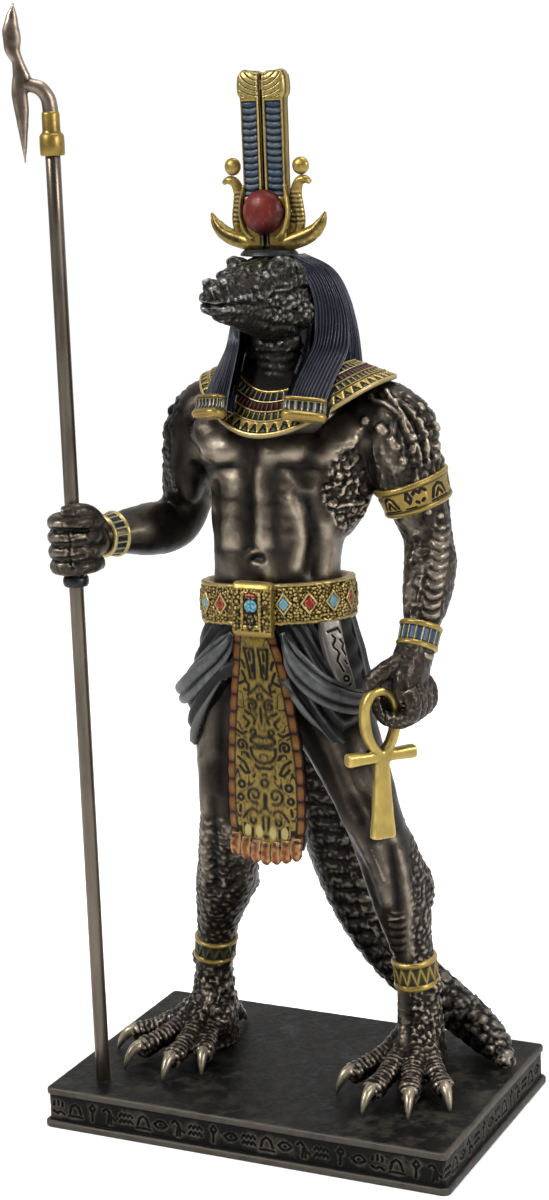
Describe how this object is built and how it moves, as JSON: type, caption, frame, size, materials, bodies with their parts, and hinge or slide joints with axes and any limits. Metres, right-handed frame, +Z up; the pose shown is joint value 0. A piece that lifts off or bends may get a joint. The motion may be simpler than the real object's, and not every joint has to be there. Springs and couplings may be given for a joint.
{
  "type": "crocodile-headed deity figurine",
  "caption": "Crocodile-headed Egyptian deity standing on a rectangular plinth, holding a hooked staff and an ankh, with a plumed crown and a long tail.",
  "frame": {"origin": "middle of the plinth's underside, on the surface that it stands on", "axes": "+Z up, the figure faces -Y, its left hand with the ankh is towards +X and its right hand with the staff towards -X"},
  "size_m": [0.1134, 0.0752, 0.2864],
  "materials": {
    "plinth_bronze": "cold-cast resin filled with bronze powder, dark brown-black patina with rubbed, lighter edges",
    "figure_bronze": "cold-cast resin filled with bronze powder, near-black recesses, burnished silver-brown high spots and hand-painted gold, blue, red and green details",
    "gold_paint": "resin painted metallic antique gold with a dark wash in its recesses, with blue and red painted fields on the crown",
    "rod_metal": "satin warm grey-brown metallic lacquer on a straight metal rod",
    "staff_bronze": "resin painted antique gold and silver-brown, with a dark wash",
    "black_ring": "black, slightly shiny"
  },
  "bodies": {
    "root": {"plinth": "plinth_bronze", "figure": "figure_bronze", "crown": "gold_paint", "ankh": "gold_paint", "staff_rod": "rod_metal", "staff_head": "staff_bronze", "staff_ring": "black_ring"}
  },
  "joints": []
}
